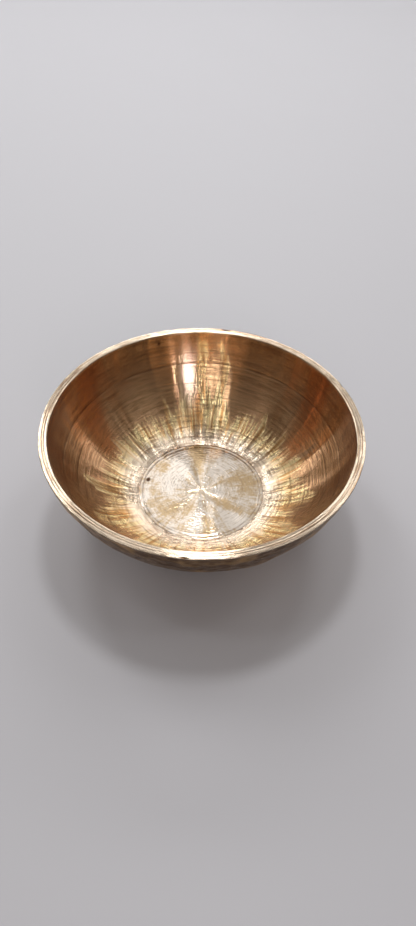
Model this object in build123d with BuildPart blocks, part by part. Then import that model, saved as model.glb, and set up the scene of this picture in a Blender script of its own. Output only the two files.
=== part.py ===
"""Singing bowl: one shell of bell metal, hammered to shape and turned on a lathe.

The bowl is a single piece, with no joint, seam, rivet or coating. Its frame has +Z up, with the
origin at the centre of the flat foot that it stands on. All sizes are in millimetres.
"""

import os

from build123d import *

# Driving dimensions
RIM_DIAMETER = 228.0
HEIGHT = 75.0
RIM_WIDTH = 6.2
FLOOR_THICKNESS = 5.0
FOOT_DIAMETER = 93.2
FLOOR_DIAMETER = 99.0

# Curvature of the wall in section, outside and inside
OUTER_WALL_CURVE = 95.3
INNER_WALL_CURVE = 84.0

# Roundings: where the foot and the floor run into the wall, and at the rim's two edges
FOOT_ROUNDING = 30.0
FLOOR_ROUNDING = 4.0
RIM_ROUNDING = 0.9

# Lines turned with a round-nosed tool. The rim's are set in from its outer edge and the floor's
# from the floor's edge. The wall's lie at shares of the way down the inner wall.
TOOL_TIP = 0.5
LINE_DEPTH = 0.28
RIM_LINE_INSETS = (2.6, 4.3)
FLOOR_LINE_INSETS = (1.3, 4.0)
WALL_LINE_SHARES = (0.28, 0.45)

rim_radius = RIM_DIAMETER / 2
mouth_radius = rim_radius - RIM_WIDTH
foot_radius = FOOT_DIAMETER / 2
floor_radius = FLOOR_DIAMETER / 2

# The tool's tip stands this far off the surface when it cuts a line.
tip_height = TOOL_TIP - LINE_DEPTH

# The bowl's section, to the right of its axis
with BuildSketch(Plane.XZ) as section:
    with BuildLine():
        foot = Line((0, 0), (foot_radius, 0))
        outer_wall = RadiusArc(foot @ 1, (rim_radius, HEIGHT), -OUTER_WALL_CURVE)
        rim = Line(outer_wall @ 1, (mouth_radius, HEIGHT))
        inner_wall = RadiusArc(rim @ 1, (floor_radius, FLOOR_THICKNESS), INNER_WALL_CURVE)
        floor = Line(inner_wall @ 1, (0, FLOOR_THICKNESS))
        Line(floor @ 1, foot @ 0)
    make_face()

    corner = section.vertices().sort_by_distance
    fillet(corner(foot @ 1)[0], FOOT_ROUNDING)
    fillet(corner(floor @ 0)[0], FLOOR_ROUNDING)
    fillet([corner(rim @ 0)[0], corner(rim @ 1)[0]], RIM_ROUNDING)

    # Turned lines on the rim, round the floor and down the inner wall
    with Locations([(rim_radius - inset, HEIGHT + tip_height) for inset in RIM_LINE_INSETS]):
        Circle(TOOL_TIP, mode=Mode.SUBTRACT)
    with Locations(
        [(floor_radius - inset, FLOOR_THICKNESS + tip_height) for inset in FLOOR_LINE_INSETS]
    ):
        Circle(TOOL_TIP, mode=Mode.SUBTRACT)
    for share in WALL_LINE_SHARES:
        down_wall = inner_wall % share
        into_bowl = Vector(down_wall.Y, -down_wall.X)
        with Locations((inner_wall @ share) + into_bowl * tip_height):
            Circle(TOOL_TIP, mode=Mode.SUBTRACT)

# The shell, spun from its section
with BuildPart() as bowl:
    add(section.sketch)
    revolve(axis=Axis.Z)

bowl.part.label = "bowl"

os.makedirs("parts", exist_ok=True)
export_step(bowl.part, "parts/bowl.step")
print("bowl: volume", round(bowl.part.volume), "mm3, size", bowl.part.bounding_box().size)
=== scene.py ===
import math

import bmesh
import bpy
import numpy as np
from mathutils import Matrix, Vector


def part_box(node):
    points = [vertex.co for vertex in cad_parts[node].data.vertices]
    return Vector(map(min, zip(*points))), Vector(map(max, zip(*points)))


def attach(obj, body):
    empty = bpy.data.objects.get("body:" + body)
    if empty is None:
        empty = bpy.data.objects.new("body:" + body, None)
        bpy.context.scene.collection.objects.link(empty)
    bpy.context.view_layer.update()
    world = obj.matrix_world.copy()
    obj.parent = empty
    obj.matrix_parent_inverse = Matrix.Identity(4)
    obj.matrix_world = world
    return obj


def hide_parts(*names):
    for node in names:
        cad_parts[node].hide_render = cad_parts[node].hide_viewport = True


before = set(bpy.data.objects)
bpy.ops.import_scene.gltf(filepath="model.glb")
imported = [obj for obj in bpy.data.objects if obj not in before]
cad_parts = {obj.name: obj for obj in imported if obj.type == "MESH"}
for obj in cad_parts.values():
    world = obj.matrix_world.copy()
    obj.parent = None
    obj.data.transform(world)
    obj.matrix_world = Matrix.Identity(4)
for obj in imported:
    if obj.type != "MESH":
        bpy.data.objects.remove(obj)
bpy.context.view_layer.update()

# --- The bowl: its section --------------------------------------------------------------------
# One shell of bell metal, a bronze of copper and tin with a brassy colour. A cast disc is beaten
# hot until it is a bowl, and the inside and the rim are then turned on a lathe. The section runs
# from the middle of the foot, up the outside, over the rim and down the inside to the floor.
MM = 0.001
low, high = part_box("bowl")
rim_radius = (high.x - low.x) / 2 / MM
height = (high.z - low.z) / MM
rim_width = 6.2
floor_thickness = 5.0
foot_radius = 46.6
floor_radius = 49.5
outer_wall_curve = 95.3
inner_wall_curve = 84.0


def wall(bottom, top, curve, points=1500):
    """A round stretch of the section, from bottom to top, that bulges away from the axis."""
    bottom, top = np.array(bottom), np.array(top)
    chord = top - bottom
    lean = math.atan2(chord[1], chord[0])
    half_turn = math.asin(math.hypot(*chord) / 2 / curve)
    turn = np.linspace(lean - half_turn, lean + half_turn, points)
    centre = bottom - curve * np.array([math.sin(turn[0]), -math.cos(turn[0])])
    return centre + curve * np.column_stack([np.sin(turn), -np.cos(turn)])


def straight(start, end, points=600):
    """A straight stretch of the section."""
    return np.linspace(start, end, points)


def joined(stretches, roundings):
    """One line through the stretches, with each corner between two of them rounded off."""
    line = stretches[0]
    for stretch, reach in zip(stretches[1:], roundings):
        corner = stretch[0]
        before = line[np.hypot(*(line - corner).T) > reach]
        after = stretch[np.hypot(*(stretch - corner).T) > reach]
        t = np.linspace(0, 1, 60)[1:-1, None]
        bent = (1 - t) ** 2 * before[-1] + 2 * t * (1 - t) * corner + t**2 * after[0]
        line = np.vstack([before, bent, after])
    return line


foot_middle, foot_edge = (0, 0), (foot_radius, 0)
rim_edge, mouth_edge = (rim_radius, height), (rim_radius - rim_width, height)
floor_edge, floor_middle = (floor_radius, floor_thickness), (0, floor_thickness)
section = joined(
    [
        straight(foot_middle, foot_edge),
        wall(foot_edge, rim_edge, outer_wall_curve),
        straight(rim_edge, mouth_edge),
        wall(floor_edge, mouth_edge, inner_wall_curve)[::-1],
        straight(floor_edge, floor_middle),
    ],
    roundings=[4.2, 0.9, 0.8, 0.7],
)
step = np.hypot(*np.diff(section, axis=0).T)
travel = np.concatenate([[0], np.cumsum(step)])


def travel_at(point):
    """How far along the section, from the middle of the foot, its nearest point to this one is."""
    return travel[np.argmin(np.hypot(*(section - point).T))]


at_rim = travel_at(rim_edge)
at_mouth = travel_at(mouth_edge)
at_floor = travel_at(floor_edge)

# Turned lines: two on the rim, a pair round the floor, and two up the wall, each with its place
# on the section, its depth, its half width and how dark the dirt in it is
lines = [(travel_at((rim_radius - inset, height)), 0.14, 0.28, 0.50) for inset in (2.6, 4.3)]
lines += [(travel_at((radius, floor_thickness)), 0.07, 0.38, 0.50) for radius in (48.2, 45.5)]
lines += [(travel_at((100.0, 49.0)), 0.14, 0.38, 0.60)]
lines += [(travel_at((91.7, 35.2)), 0.06, 0.35, 0.30)]

# Pits and chips: turn round the bowl in degrees, place on the section, half length and half
# height, and depth. The first two are a pit in the floor and one high on the inner wall.
pits = [
    (169, travel_at((42.7, floor_thickness)), 1.7, 0.8, 0.25),
    (111, travel_at((106.6, 68.0)), 0.8, 0.8, 0.4),
    (82, at_rim + 0.9, 2.0, 1.2, 0.6),
    (266, at_rim + 0.6, 1.3, 0.5, 0.3),
    (24, at_rim, 2.2, 0.7, 0.4),
    (250, travel_at((108.0, 56.0)), 1.6, 1.0, 0.5),
    (281, travel_at((110.0, 60.0)), 2.2, 0.9, 0.5),
    (296, travel_at((104.5, 48.0)), 1.2, 1.2, 0.5),
    (205, travel_at((99.0, 40.0)), 1.8, 1.3, 0.5),
    (130, travel_at((106.0, 52.0)), 1.5, 1.0, 0.5),
    (330, travel_at((92.0, 31.0)), 1.4, 1.4, 0.5),
    (60, travel_at((101.0, 43.0)), 2.0, 1.0, 0.5),
]

# --- The bowl: its rings of points ------------------------------------------------------------
# The turned shape is built from rings of points round the axis. The rings crowd together where the
# section turns, where a line is cut and where a pit lies, and have fewer points near the axis.

# Spacing of the rings in millimetres: wide on the foot and the walls, and close over the rim
spacing = np.interp(
    travel,
    [0, travel_at(foot_edge), at_rim - 3, at_rim, at_mouth, at_mouth + 3, at_floor, travel[-1]],
    [3.2, 2.8, 2.8, 0.45, 0.45, 2.0, 1.8, 2.0],
)
heading = np.unwrap(np.arctan2(*np.diff(section, axis=0).T[::-1]))
turning = np.abs(np.gradient(heading)) / step
turning = np.append(turning, turning[-1])
# Rings for each millimetre of travel, with one more for every 12 degrees that the section turns
crowding = 1 / spacing + turning / math.radians(12)
for place, depth, half_width, darkness in lines:
    crowding += 2.4 * np.exp(-(((travel - place) / half_width / 1.6) ** 2))
for turn, place, half_length, half_height, depth in pits[:2]:
    crowding += 0.8 * np.exp(-(((travel - place) / half_height / 1.6) ** 2))
rings_so_far = np.concatenate([[0], np.cumsum((crowding[1:] + crowding[:-1]) / 2 * step)])
ring_travel = np.interp(
    np.linspace(0, rings_so_far[-1], round(rings_so_far[-1])), rings_so_far, travel
)[1:-1]
ring_r = np.interp(ring_travel, travel, section[:, 0])
ring_z = np.interp(ring_travel, travel, section[:, 1])
ring_heading = np.interp(ring_travel, travel[:-1] + step / 2, heading)

# A ring has half as many points inside each of these radii.
most_points_round = 560
halved_inside = (34, 17, 8.5)
ring_points = []
for radius_here in ring_r:
    halvings = sum(radius_here < limit for limit in halved_inside)
    ring_points.append(most_points_round // 2**halvings)
ring_start = np.concatenate([[0], np.cumsum(ring_points)[:-1]]).tolist()

angle = np.concatenate([np.arange(n) * 2 * math.pi / n for n in ring_points])
along = np.repeat(ring_travel, ring_points)
base_r = np.repeat(ring_r, ring_points)
base_z = np.repeat(ring_z, ring_points)
face = np.repeat(ring_heading, ring_points) - math.pi / 2

# Which surface a point is on, from 0 to 1, and how far up the inner wall it is in millimetres
outside = np.clip((at_rim - along) / 2.0, 0, 1)
inside = np.clip((along - at_mouth) / 2.0, 0, 1)
on_foot = np.clip((50 - base_r) / 8, 0, 1) * (along < at_rim)
on_wall = inside * np.clip((at_floor - along) / 14, 0, 1)
on_floor = inside * np.clip((along - at_floor + 3) / 6, 0, 1)
off_centre = np.clip(base_r / 10, 0, 1)
up_wall = np.maximum(at_floor - along, 0)

# --- The bowl: its unevenness -----------------------------------------------------------------
# Overlapping hammer blows leave hollows all over the outside. The inside follows them faintly:
# the turning tool rides over them and leaves soft waves, which break up what it reflects.
rng = np.random.default_rng(11)


def waves(counts, drift_mm):
    """Unevenness from about -1 to 1: waves round the bowl that wander along the section."""
    total = np.zeros(len(angle))
    for count in counts:
        phase, wander = rng.uniform(0, 2 * math.pi, 2)
        bend = 1.3 * np.sin(along / drift_mm + wander) + rng.normal() * along / drift_mm / 3
        total += rng.normal() * np.cos(count * angle + phase + bend)
    return total / math.sqrt(len(counts))


def turned_from(turn_degrees):
    """How far round the bowl each point is from this turn, in radians, from -pi to pi."""
    return (angle - math.radians(turn_degrees) + math.pi) % (2 * math.pi) - math.pi


# Each blow leaves a short row of three round hollows, 5 to 9.5 mm in radius, and the larger are the
# deeper. Fewer blows are kept near the foot, where the way round the bowl is shorter.
blows = 1100
blow_place = rng.uniform(20, at_rim - 2, blows)
blow_turn = rng.uniform(0, 360, blows)
blow_size = rng.uniform(5.0, 9.5, blows)
landed = rng.uniform(0, rim_radius, blows) < np.interp(blow_place, travel, section[:, 0])
hollow = np.zeros(len(angle))
for place, turn, size in zip(blow_place[landed], blow_turn[landed], blow_size[landed]):
    for strike in (-1, 0, 1):
        round_by = turned_from(turn + 5 * strike) * base_r
        up_by = along - place - 2 * strike
        away = (round_by**2 + up_by**2) / size**2
        hollow = np.maximum(hollow, size / 10 * (1 - away))

# One upright oval patch of the wall, at the back, is smoother than the rest, so that a window in
# front is mirrored there as one whole pale shape.
away = (turned_from(99) / math.radians(5.5)) ** 2 + ((up_wall - 60) / 26) ** 2
smoothed_with_painted_reflection = on_wall * np.exp(-(away**2))

# How far each point is pushed out from the turned shape, in millimetres
push = -0.80 * outside * (1 - 0.8 * on_foot) * hollow
push += 0.12 * outside * (1 - on_foot) * waves(range(3, 24), 25)
push += 0.16 * on_wall * (1 - 0.7 * smoothed_with_painted_reflection) * waves(range(13, 21), 45)
push += 0.10 * inside * off_centre * waves(range(3, 9), 45)
push += 0.05 * on_wall * (1 - 0.8 * smoothed_with_painted_reflection) * waves(range(22, 50), 22)
push += 0.02 * on_wall * (1 - 0.9 * smoothed_with_painted_reflection) * waves(range(50, 110), 12)
push += 0.075 * on_floor * off_centre * waves(range(3, 12), 8)
push += 0.012 * on_floor * off_centre * np.exp(-base_r / 22) * waves(range(8, 34), 30)
# The lines are cut unevenly deep, the rim's outer edge is ragged, and then come the pits.
unevenly = np.clip(1 + 0.35 * waves(range(2, 30), 500), 0.3, 1.6)
for place, depth, half_width, darkness in lines:
    push -= depth * unevenly * np.exp(-(((along - place) / half_width) ** 2))
ragged = np.clip(0.5 + 0.5 * waves(range(18, 90), 500), 0, 2)
push -= 0.16 * ragged * np.exp(-(((along - at_rim) / 0.9) ** 2))
for turn, place, half_length, half_height, depth in pits:
    away = (turned_from(turn) * base_r / half_length) ** 2 + ((along - place) / half_height) ** 2
    push -= depth * np.exp(-away)

r = np.minimum(base_r + push * np.cos(face), rim_radius)
z = np.clip(base_z + push * np.sin(face), 0, height)
points = np.column_stack([r * np.cos(angle), r * np.sin(angle), z])
points = np.vstack([points, [0, 0, 0], [0, 0, floor_thickness]]) * MM
foot_pole, floor_pole = len(points) - 2, len(points) - 1

# Faces between each two rings, in fours, or in threes where the number of points halves, and then
# a fan of threes at each end
faces = []
for i in range(len(ring_points) - 1):
    a, b = ring_start[i], ring_start[i + 1]
    n, m = ring_points[i], ring_points[i + 1]
    for j in range(min(n, m)):
        k = (j + 1) % min(n, m)
        if n == m:
            faces.append((a + j, a + k, b + k, b + j))
        elif m > n:
            left, middle, right = b + 2 * j, b + 2 * j + 1, b + (2 * j + 2) % m
            faces += [(a + j, middle, left), (a + j, a + k, middle), (a + k, right, middle)]
        else:
            left, middle, right = a + 2 * j, a + 2 * j + 1, a + (2 * j + 2) % n
            faces += [(left, middle, b + j), (middle, b + k, b + j), (middle, right, b + k)]
n, m, last = ring_points[0], ring_points[-1], ring_start[-1]
faces += [(foot_pole, (j + 1) % n, j) for j in range(n)]
faces += [(floor_pole, last + j, last + (j + 1) % m) for j in range(m)]

mesh = bpy.data.meshes.new("bowl_shell")
mesh.from_pydata(points.tolist(), [], faces)
shell = bmesh.new()
shell.from_mesh(mesh)
bmesh.ops.recalc_face_normals(shell, faces=shell.faces)
shell.to_mesh(mesh)
shell.free()
mesh.shade_smooth()
bowl = bpy.data.objects.new("bowl_shell", mesh)
bpy.context.scene.collection.objects.link(bowl)
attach(bowl, "root")
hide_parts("bowl")

# --- The bowl: its finish ---------------------------------------------------------------------
# Where the tool cut last, on the rim, the floor and the foot of the wall, the metal is bright.
# Above that a thin brown film of oxide is left, worn through in tongues that reach up the wall,
# and two streaks of it are copper red. The outside keeps the dark skin that the fire gave it.
# Some of the tongues and patches stand in for what a room full of windows draws on such metal:
# the pale tongues, the threads, the bright wipes, the copper streaks, the smooth patch's colour,
# the pale band above the floor and the silvery floor patches are partly painted reflections and
# highlights, and the tan floor patches and the dark band in the corner round the floor are painted
# shade.

# Tongues of worn film, partly wear and partly painted reflections: turn round the bowl, how far
# they lean over by their top and half width, all in degrees, and how far up the wall they reach in
# millimetres
tongues_and_painted_reflections = [
    (89, 4, 5.0, 96), (78, 5, 3.2, 96), (101, 0, 6.0, 84), (113, 2, 1.8, 50), (136, -2, 4.0, 34),
    (152, 4, 2.0, 40), (187, 2, 3.4, 52), (214, 0, 8.0, 52), (62, 0, 3.2, 36), (47, 4, 2.2, 46),
    (33, 2, 1.6, 44), (12, 2, 4.5, 40), (-14, 0, 7.0, 50), (-38, 0, 8.0, 52), (238, 0, 6.0, 40),
]
# Copper red streaks, partly oxide colour and partly painted reflections: turn at the foot of the
# wall, lean and half width, in degrees
copper_streaks_and_painted_reflections = [(168, -21, 7.5), (20, 15, 7.5)]

# Silvery and tan patches on the floor: partly tone that the tool left, and partly painted
# highlights where silvery and painted shade where tan. Each has its turn round the bowl, distance
# from the axis, half length in degrees, half width in millimetres, and from -1 for tan to 1 for
# silver
patches = [
    (155, 25, 40, 8, 1.0), (118, 34, 11, 10, 0.9), (58, 26, 15, 15, 0.6), (-50, 36, 9, 11, 0.9),
    (-10, 13, 25, 7, 0.7), (268, 22, 5, 20, 0.6), (190, 44, 9, 4, 0.7), (98, 34, 12, 15, -1.0),
    (14, 37, 18, 9, -0.7), (24, 20, 10, 9, -0.6), (-38, 22, 10, 13, -0.8), (277, 38, 5, 14, -0.7),
    (215, 31, 24, 8, -0.6), (146, 38, 10, 5, -0.5), (240, 20, 16, 7, -0.4),
]

# The film is gone at the foot of the wall, and each tongue wanders, narrows and fades as it rises.
# The tongues are partly wear and partly painted reflections.
worn_and_painted_reflection = 1.1 - 1.1 * np.clip((up_wall - 12) / 32, 0, 1)
for turn, lean, half_width, reach in tongues_and_painted_reflections:
    off = turned_from(turn) - math.radians(lean) * up_wall / reach
    off -= math.radians(1.3) * np.sin(up_wall / 8 + turn)
    narrowed = math.radians(half_width) * (1.2 - 0.6 * up_wall / reach)
    worn_and_painted_reflection += np.exp(-((off / narrowed) ** 2)) * np.clip((reach - up_wall) / 10, 0, 1)
reddened_and_painted_reflection = np.zeros(len(angle))
for turn, lean, half_width in copper_streaks_and_painted_reflections:
    off = turned_from(turn) - math.radians(lean) * up_wall / 95
    starts = np.clip((up_wall - 18) / 15, 0, 1)
    reddened_and_painted_reflection += starts * np.exp(-((off / math.radians(half_width)) ** 4))

silvered_and_painted_light = np.zeros(len(angle))
for turn, distance, half_length, half_width, amount in patches:
    away = (turned_from(turn) / math.radians(half_length)) ** 2
    away += ((base_r - distance) / half_width) ** 2
    silvered_and_painted_light += amount * np.exp(-(away**1.5)) * on_floor

# Dark dirt lies in the turned lines and the pits.
dirt_and_painted_shade = np.zeros(len(angle))
for place, depth, half_width, darkness in lines:
    dirt_and_painted_shade += darkness * unevenly * np.exp(-(((along - place) / half_width) ** 2))
for turn, place, half_length, half_height, depth in pits:
    away = (turned_from(turn) * base_r / half_length) ** 2 + ((along - place) / half_height) ** 2
    dirt_and_painted_shade += 2.2 * np.exp(-(away**2) / 2)
# Painted shade also darkens all along the corner between the floor and the wall, and more in two
# places.
dirt_and_painted_shade += 0.42 * unevenly * np.exp(-(((along - at_floor) / 1.1) ** 2))
for turn, half_length, darkness in [(91, 20, 0.55), (268, 26, 0.28)]:
    away = (turned_from(turn) * base_r / half_length) ** 2 + ((along - at_floor + 5) / 6) ** 2
    dirt_and_painted_shade += darkness * inside * np.exp(-away)

# What the finish needs to know about each point; the two points on the axis come last
told = {
    "along": (along * MM, 0, travel[-1] * MM),
    "inside": (inside, 0, 1),
    "worn_and_painted_reflection": (worn_and_painted_reflection, 0, 1),
    "reddened_and_painted_reflection": (reddened_and_painted_reflection * inside, 0, 0),
    "smoothed_with_painted_reflection": (smoothed_with_painted_reflection, 0, 0),
    "silvered_and_painted_light": (silvered_and_painted_light, 0, 0),
    "ridge": ((1 - hollow) * outside, 0, 0),
    "dirt_and_painted_shade": (dirt_and_painted_shade, 0, 0),
}
for name, (values, at_foot_pole, at_floor_pole) in told.items():
    kept = mesh.attributes.new(name, "FLOAT", "POINT")
    kept.data.foreach_set("value", np.append(values, (at_foot_pole, at_floor_pole)).astype("f"))


def paint(hex_colour):
    """An sRGB hex value as the linear colour that a shader takes."""
    parts = [int(hex_colour[i : i + 2], 16) / 255 for i in (0, 2, 4)]
    return [p / 12.92 if p <= 0.04045 else ((p + 0.055) / 1.055) ** 2.4 for p in parts] + [1]


def node(tree, kind, settings=None, **links):
    """Adds a node with its settings, and sets or links its inputs, given by name or number."""
    made = tree.nodes.new(kind)
    for name, value in (settings or {}).items():
        setattr(made, name, value)
    for name, value in links.items():
        words = name.replace("_", " ").strip()
        if words.isdigit():
            socket = made.inputs[int(words)]
        else:
            socket = next(s for s in made.inputs if s.enabled and s.name == words)
        if isinstance(value, bpy.types.Node):
            value = next(s for s in value.outputs if s.enabled)
        if isinstance(value, bpy.types.NodeSocket):
            tree.links.new(value, socket)
        else:
            socket.default_value = value
    return made


def surface(name, reads, mark_sizes):
    """A new material for the shell, what it reads of each point, and its random marks.

    A mark's sizes are its length round the bowl and along the section, in millimetres at a
    radius of 80 mm, and how much finer detail it carries. Its values run from 0 to 1.
    """
    material = bpy.data.materials.new(name)
    material.use_nodes = True
    tree = material.node_tree
    tree.nodes.clear()
    mesh.materials.append(material)
    at = {}
    for known in ("along", "dirt_and_painted_shade", *reads):
        at[known] = node(tree, "ShaderNodeAttribute", {"attribute_name": known}).outputs["Fac"]
    place = node(tree, "ShaderNodeTexCoord").outputs["Object"]
    flat = node(tree, "ShaderNodeVectorMath", {"operation": "MULTIPLY"}, _0=place, _1=(1, 1, 0))
    outward = node(tree, "ShaderNodeVectorMath", {"operation": "NORMALIZE"}, _0=flat)
    split = node(tree, "ShaderNodeSeparateXYZ", _0=outward)
    wrapped = node(
        tree, "ShaderNodeCombineXYZ", X=split.outputs["X"], Y=split.outputs["Y"], Z=at["along"]
    )
    marks = {}
    for number, (mark, (round_mm, along_mm, detail)) in enumerate(mark_sizes.items()):
        scale = (80 / round_mm, 80 / round_mm, 1 / (along_mm * MM))
        stretched = node(
            tree, "ShaderNodeVectorMath", {"operation": "MULTIPLY_ADD"},
            _0=wrapped, _1=scale, _2=(0, 0, 10.0 * number),
        )
        noise = node(tree, "ShaderNodeTexNoise", Vector=stretched, Scale=1.0, Detail=detail)
        marks[mark] = noise.outputs["Fac"]
    return tree, at, marks


def finish(tree, at, colour, roughness, relief, depth_mm, streak):
    """Dirt and painted shade, relief and the metal itself; streak is how far the turned rings draw
    a light out.
    """
    dirtied_and_painted_shade = node(
        tree, "ShaderNodeMix", {"data_type": "RGBA"}, Factor=at["dirt_and_painted_shade"], A=colour, B=paint("5E3F26")
    )
    bump = node(tree, "ShaderNodeBump", Strength=1.0, Distance=depth_mm * MM, Height=relief)
    tangent = node(tree, "ShaderNodeTangent", {"direction_type": "RADIAL", "axis": "Z"})
    shader = node(
        tree, "ShaderNodeBsdfPrincipled", Base_Color=dirtied_and_painted_shade, Metallic=1.0, Roughness=roughness,
        Anisotropic=streak, Anisotropic_Rotation=0.25, Normal=bump, Tangent=tangent,
    )
    node(tree, "ShaderNodeOutputMaterial", Surface=shader)


# Turned bell metal, on the rim and the wall: bright and warm. The tool's fine rings run round
# the bowl, so each light is drawn out across them into a long streak up the wall. The rings are
# really about 0.3 mm apart, and are drawn nearly 2 mm apart so that they show.
tree, at, marks = surface(
    "turned bell metal, wall and rim",
    ("inside", "worn_and_painted_reflection", "reddened_and_painted_reflection", "smoothed_with_painted_reflection"),
    {
        "patches": (30, 45, 3), "tool rings": (60, 1.8, 3), "tool ticks": (11, 2.0, 2),
        "wipes": (2.2, 28, 3), "painted_highlight_threads": (7, 50, 2), "clouds": (25, 20, 3),
    },
)
# The edge of the worn film, which is partly painted reflection, is broken by the wipes and by the
# ticks of the tool.
edge = node(
    tree, "ShaderNodeMath", {"operation": "MULTIPLY_ADD"}, _0=marks["wipes"], _1=1.4, _2=-0.7
)
edge = node(tree, "ShaderNodeMath", {"operation": "ADD"}, _0=edge, _1=at["worn_and_painted_reflection"])
edge = node(
    tree, "ShaderNodeMath", {"operation": "MULTIPLY_ADD"}, _0=marks["tool ticks"], _1=0.7, _2=edge
)
bared_and_painted_reflection = node(
    tree, "ShaderNodeMapRange", {"interpolation_type": "SMOOTHSTEP"},
    Value=edge, From_Min=0.75, From_Max=1.35,
)
film = node(
    tree, "ShaderNodeMix", {"data_type": "RGBA"},
    Factor=marks["clouds"], A=paint("AC7F5C"), B=paint("E4BF96"),
)
# The bright streaks of the wipes in the bare metal are painted highlights.
wiped_painted_highlight = node(
    tree, "ShaderNodeMapRange", {"interpolation_type": "SMOOTHSTEP"},
    Value=marks["wipes"], From_Min=0.38, From_Max=0.6,
)
bare = node(
    tree, "ShaderNodeMix", {"data_type": "RGBA"},
    Factor=wiped_painted_highlight, A=paint("D3A268"), B=paint("FEE1AE"),
)
colour = node(tree, "ShaderNodeMix", {"data_type": "RGBA"}, Factor=bared_and_painted_reflection, A=film, B=bare)
# Threads of painted highlight, pale lemon lines, wander up through the bared part, along one level
# of the slow marks, as the lines of a map run along one height.
level = node(tree, "ShaderNodeMath", {"operation": "SUBTRACT"}, _0=marks["painted_highlight_threads"], _1=0.53)
level = node(
    tree, "ShaderNodeMath", {"operation": "MULTIPLY_ADD"}, _0=marks["tool ticks"], _1=0.06, _2=level
)
level = node(tree, "ShaderNodeMath", {"operation": "ABSOLUTE"}, _0=level)
thread_with_painted_highlight = node(
    tree, "ShaderNodeMapRange", {"interpolation_type": "SMOOTHSTEP"},
    Value=level, From_Min=0.015, From_Max=0.07, To_Min=1.0, To_Max=0.0,
)
thread_with_painted_highlight = node(tree, "ShaderNodeMath", {"operation": "MULTIPLY"}, _0=thread_with_painted_highlight, _1=bared_and_painted_reflection)
colour = node(
    tree, "ShaderNodeMix", {"data_type": "RGBA"}, Factor=thread_with_painted_highlight, A=colour, B=paint("FFE9B2")
)
# The smooth patch hides the threads and is painted with the window's reflection, pale and pinkish.
painted_window_reflection = node(tree, "ShaderNodeMath", {"operation": "MULTIPLY"}, _0=at["smoothed_with_painted_reflection"], _1=0.85)
colour = node(
    tree, "ShaderNodeMix", {"data_type": "RGBA"}, Factor=painted_window_reflection, A=colour, B=paint("EFD8C6")
)
# Copper red streaks lie in the film, partly oxide colour and partly painted reflections.
copper_red_and_painted_reflection = node(tree, "ShaderNodeMath", {"operation": "MULTIPLY"}, _0=at["reddened_and_painted_reflection"], _1=0.8)
colour = node(
    tree, "ShaderNodeMix", {"data_type": "RGBA"}, Factor=copper_red_and_painted_reflection, A=colour, B=paint("B97A50")
)
# The rim and the last of the wall above the floor are cut bright, and the pale band above the floor
# is partly that bright metal and partly a painted highlight. The wipes move the upper edge of the
# bright part by up to 24 mm.
near_floor_bright_and_painted_highlight = node(
    tree, "ShaderNodeMath", {"operation": "MULTIPLY_ADD"},
    _0=marks["wipes"], _1=24 * MM, _2=at["along"],
)
near_floor_bright_and_painted_highlight = node(
    tree, "ShaderNodeMapRange", {"interpolation_type": "SMOOTHSTEP"},
    Value=near_floor_bright_and_painted_highlight, From_Min=(at_floor - 8) * MM, From_Max=(at_floor + 9) * MM, To_Max=0.85,
)
colour = node(
    tree, "ShaderNodeMix", {"data_type": "RGBA"}, Factor=near_floor_bright_and_painted_highlight, A=colour, B=paint("FCEEDD")
)
colour = node(
    tree, "ShaderNodeMix", {"data_type": "RGBA"}, Factor=at["inside"], A=paint("DAC8B2"), B=colour
)
# Faint darker rings and ticks where the tool dragged, and hardly any in the smooth patch
relief = node(
    tree, "ShaderNodeMath", {"operation": "ADD"}, _0=marks["tool ticks"], _1=marks["tool rings"]
)
dragged = node(
    tree, "ShaderNodeMath", {"operation": "MULTIPLY_ADD"}, _0=at["smoothed_with_painted_reflection"], _1=-0.45, _2=relief
)
dragged = node(
    tree, "ShaderNodeMapRange", Value=dragged, From_Min=0.95, From_Max=1.25, To_Max=0.6
)
colour = node(
    tree, "ShaderNodeMix", {"data_type": "RGBA"}, Factor=dragged, A=colour, B=paint("9A7350")
)
roughness = node(
    tree, "ShaderNodeMapRange", Value=marks["patches"], From_Min=0.3, From_Max=0.7,
    To_Min=0.19, To_Max=0.25,
)
roughness = node(
    tree, "ShaderNodeMath", {"operation": "MULTIPLY_ADD"}, _0=bared_and_painted_reflection, _1=0.05, _2=roughness
)
# A thread also stands up a little, so that its flanks catch a light from the side. In the smooth
# patch all of the relief is low.
relief = node(tree, "ShaderNodeMath", {"operation": "MULTIPLY_ADD"}, _0=thread_with_painted_highlight, _1=0.6, _2=relief)
left_standing = node(
    tree, "ShaderNodeMath", {"operation": "MULTIPLY_ADD"}, _0=at["smoothed_with_painted_reflection"], _1=-0.8, _2=1.0
)
relief = node(tree, "ShaderNodeMath", {"operation": "MULTIPLY"}, _0=relief, _1=left_standing)
finish(tree, at, colour, roughness, relief, depth_mm=0.18, streak=1.0)

# The same metal on the floor, where the tool ran out to nothing and left it brightest: silvery
# with a touch of pink, in patches, and its streaks meet at the middle in a star.
tree, at, marks = surface(
    "turned bell metal, floor",
    ("silvered_and_painted_light",),
    {
        "patches": (30, 14, 3), "tool rings": (60, 1.4, 3), "tool ticks": (9, 1.4, 2),
        "spots": (16, 6, 4), "flecks": (4, 1.6, 3), "scratches": (3, 14, 3),
    },
)
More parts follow.
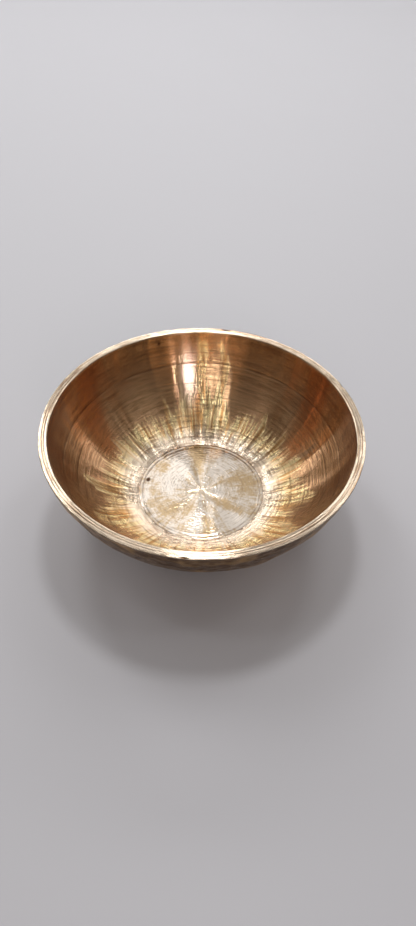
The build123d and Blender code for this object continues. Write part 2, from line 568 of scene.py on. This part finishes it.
# Silvery and tan patches, partly painted highlights and painted shade, broken up by spots, flecks
# and long scratches
silver_tone_and_painted_light = node(
    tree, "ShaderNodeMath", {"operation": "MULTIPLY_ADD"}, _0=marks["spots"], _1=-2.2, _2=0.8
)
silver_tone_and_painted_light = node(tree, "ShaderNodeMath", {"operation": "ADD"}, _0=silver_tone_and_painted_light, _1=at["silvered_and_painted_light"])
silver_tone_and_painted_light = node(
    tree, "ShaderNodeMath", {"operation": "MULTIPLY_ADD"}, _0=marks["flecks"], _1=1.5, _2=silver_tone_and_painted_light
)
silver_tone_and_painted_light = node(
    tree, "ShaderNodeMath", {"operation": "MULTIPLY_ADD"}, _0=marks["scratches"], _1=1.6, _2=silver_tone_and_painted_light
)
silver_tone_and_painted_light = node(
    tree, "ShaderNodeMapRange", {"interpolation_type": "SMOOTHSTEP"},
    Value=silver_tone_and_painted_light, From_Min=0.5, From_Max=1.8,
)
colour = node(
    tree, "ShaderNodeMix", {"data_type": "RGBA"},
    Factor=silver_tone_and_painted_light, A=paint("D8BC94"), B=paint("FDF2E6"),
)
# Faint darker rings and ticks where the tool dragged
relief = node(
    tree, "ShaderNodeMath", {"operation": "ADD"}, _0=marks["tool ticks"], _1=marks["tool rings"]
)
dragged = node(
    tree, "ShaderNodeMapRange", Value=relief, From_Min=0.98, From_Max=1.3, To_Max=0.5
)
colour = node(
    tree, "ShaderNodeMix", {"data_type": "RGBA"}, Factor=dragged, A=colour, B=paint("B89A7A")
)
roughness = node(
    tree, "ShaderNodeMapRange", Value=marks["patches"], From_Min=0.3, From_Max=0.7,
    To_Min=0.09, To_Max=0.14,
)
finish(tree, at, colour, roughness, relief, depth_mm=0.09, streak=0.5)

# The fire skin outside: dark brown scale beaten into the bronze, dull and crusty, and rubbed to
# a low gold along the ridges between the blows.
tree, at, marks = surface(
    "hammered bell metal, fire skin",
    ("ridge",),
    {"crust": (5, 3.5, 6), "grain": (1.2, 1.2, 3), "clouds": (26, 12, 4)},
)
# The crust is thick in the hollows and breaks up towards the ridges.
crusted = node(
    tree, "ShaderNodeMath", {"operation": "MULTIPLY_ADD"},
    _0=at["ridge"], _1=-0.35, _2=marks["crust"],
)
crusted = node(
    tree, "ShaderNodeMapRange", {"interpolation_type": "SMOOTHSTEP"},
    Value=crusted, From_Min=0.12, From_Max=0.56,
)
dark = node(
    tree, "ShaderNodeMix", {"data_type": "RGBA"},
    Factor=marks["clouds"], A=paint("5E4732"), B=paint("80624A"),
)
# Where it is thin, the bronze shows through, browned in clouds.
browned = node(
    tree, "ShaderNodeMapRange", {"interpolation_type": "SMOOTHSTEP"},
    Value=marks["clouds"], From_Min=0.35, From_Max=0.65,
)
thin = node(
    tree, "ShaderNodeMix", {"data_type": "RGBA"},
    Factor=browned, A=paint("8C6B49"), B=paint("BC9568"),
)
colour = node(tree, "ShaderNodeMix", {"data_type": "RGBA"}, Factor=crusted, A=thin, B=dark)
rubbed = node(
    tree, "ShaderNodeMapRange", {"interpolation_type": "SMOOTHSTEP"},
    Value=at["ridge"], From_Min=0.25, From_Max=0.7, To_Max=0.55,
)
colour = node(
    tree, "ShaderNodeMix", {"data_type": "RGBA"}, Factor=rubbed, A=colour, B=paint("D0AA78")
)
roughness = node(
    tree, "ShaderNodeMapRange", Value=marks["crust"], From_Min=0.35, From_Max=0.65,
    To_Min=0.24, To_Max=0.5,
)
relief = node(
    tree, "ShaderNodeMath", {"operation": "MULTIPLY_ADD"},
    _0=marks["crust"], _1=2.0, _2=marks["grain"],
)
finish(tree, at, colour, roughness, relief, depth_mm=0.18, streak=0.0)

# The skin ends at the rim's outer edge, and the floor at the outer of its two turned lines.
wall_and_rim, floor_disc, fire_skin = range(3)
outer_floor_line = lines[2][0]
along_of_corner = np.append(along, (0, travel[-1]))
for polygon in mesh.polygons:
    middle = along_of_corner[list(polygon.vertices)].mean()
    polygon.material_index = wall_and_rim
    if middle < at_rim - 0.4:
        polygon.material_index = fire_skin
    elif middle > outer_floor_line:
        polygon.material_index = floor_disc

# --- The floor it stands on -------------------------------------------------------------------
# A plain pale floor of smooth sealed concrete, with a faint soft gloss. It lies a tenth of a
# millimetre below the foot, so that the two flat faces are never in the same place.
reach, sunk = 6, -0.1 * MM
floor_corners = [(-reach, -reach), (reach, -reach), (reach, reach), (-reach, reach)]
floor_mesh = bpy.data.meshes.new("floor")
floor_mesh.from_pydata([(x, y, sunk) for x, y in floor_corners], [], [(0, 1, 2, 3)])
floor = bpy.data.objects.new("floor", floor_mesh)
bpy.context.scene.collection.objects.link(floor)
pale = bpy.data.materials.new("pale sealed concrete")
pale.use_nodes = True
pale.node_tree.nodes.clear()
shader = node(
    pale.node_tree, "ShaderNodeBsdfPrincipled", Base_Color=paint("D0D0D6"), Roughness=0.55
)
node(pale.node_tree, "ShaderNodeOutputMaterial", Surface=shader)
floor_mesh.materials.append(pale)

# --- The lamps --------------------------------------------------------------------------------
# A key lamp high behind the bowl gives the clear round shadow. The other lamps are large and soft,
# and stand for the windows and pale walls of a bright room, which the turned metal mirrors.
world = bpy.data.worlds.new("bright room")
bpy.context.scene.world = world
world.use_nodes = True
world.node_tree.nodes["Background"].inputs["Color"].default_value = paint("FFF5E8")
world.node_tree.nodes["Background"].inputs["Strength"].default_value = 0.18


def lamp(name, turn, lift, away, size, power, tint="FFFFFF"):
    """A soft oval lamp that faces the bowl, from a turn round it and a lift above it in degrees.

    How far away it is and its size are in metres, and its power is in watts.
    """
    light = bpy.data.lights.new(name, "AREA")
    light.shape = "ELLIPSE"
    light.size, light.size_y = size
    light.energy = power
    light.color = paint(tint)[:3]
    stand = bpy.data.objects.new(name, light)
    turn, lift = math.radians(turn), math.radians(lift)
    towards = Vector(
        (math.cos(turn) * math.cos(lift), math.sin(turn) * math.cos(lift), math.sin(lift))
    )
    stand.location = towards * away
    stand.rotation_euler = towards.to_track_quat("Z", "Y").to_euler()
    bpy.context.scene.collection.objects.link(stand)


lamp("key", 90, 66, 2.2, (0.33, 0.33), 7.6)
# Behind the bowl: these light the floor disc, the near wall and the rim.
lamp("far_strip", 98, 47, 2.4, (0.35, 1.1), 0.45)
lamp("far_left", 122, 46, 2.4, (0.45, 0.8), 6.0)
lamp("far_right", 58, 48, 2.4, (0.4, 0.8), 3.4)
lamp("far_panel", 90, 31, 2.6, (2.2, 0.35), 12)
lamp("far_soft", 86, 52, 2.6, (2.4, 1.2), 3.2)
# At the sides: these light the copper red streaks and the walls beside them.
lamp("window_left", 136, 20, 3.0, (1.6, 0.9), 12.5)
lamp("window_right", 44, 20, 3.0, (1.6, 0.9), 7)
lamp("left_top", 170, 68, 2.4, (0.3, 0.8), 2.0)
lamp("right_top", 10, 66, 2.4, (0.3, 0.8), 1.6)
lamp("side_left", 165, 34, 2.6, (1.1, 0.8), 0.6)
lamp("side_right", 15, 34, 2.6, (1.1, 0.8), 0.5)
# In front: these are seen in the far wall, as a pale oval and a bright streak beside it.
lamp("near_strip", 259, 50, 2.4, (0.18, 1.6), 2.1)
lamp("near_window", 286, 26, 2.5, (0.45, 0.8), 5.5, "FFF0F2")
lamp("near_low", 263, 28, 2.4, (0.16, 0.8), 1.5)
lamp("near_soft", 270, 28, 2.6, (2.6, 1.1), 1, "FFD9B4")

# Colours are shown as they are, with no film look over them.
bpy.context.scene.view_settings.view_transform = "Standard"

# --- The camera -------------------------------------------------------------------------------
# A wide lens held over the front of the bowl, looking down into it. It stands a few millimetres to
# the right of the middle and is turned slightly. Its place is in metres.
camera_data = bpy.data.cameras.new("camera")
camera_data.lens = 25.6587
camera = bpy.data.objects.new("camera", camera_data)
pitch, roll = math.radians(47.41), math.radians(1.82)
forward = Vector((0, math.cos(pitch), -math.sin(pitch)))
right, up = Vector((1, 0, 0)), Vector((0, math.sin(pitch), math.cos(pitch)))
across = math.cos(roll) * right + math.sin(roll) * up
upward = math.cos(roll) * up - math.sin(roll) * right
stand = Matrix.Translation((0.00463, -0.33357, 0.39799))
camera.matrix_world = stand @ Matrix((across, upward, -forward)).transposed().to_4x4()
bpy.context.scene.collection.objects.link(camera)
bpy.context.scene.camera = camera
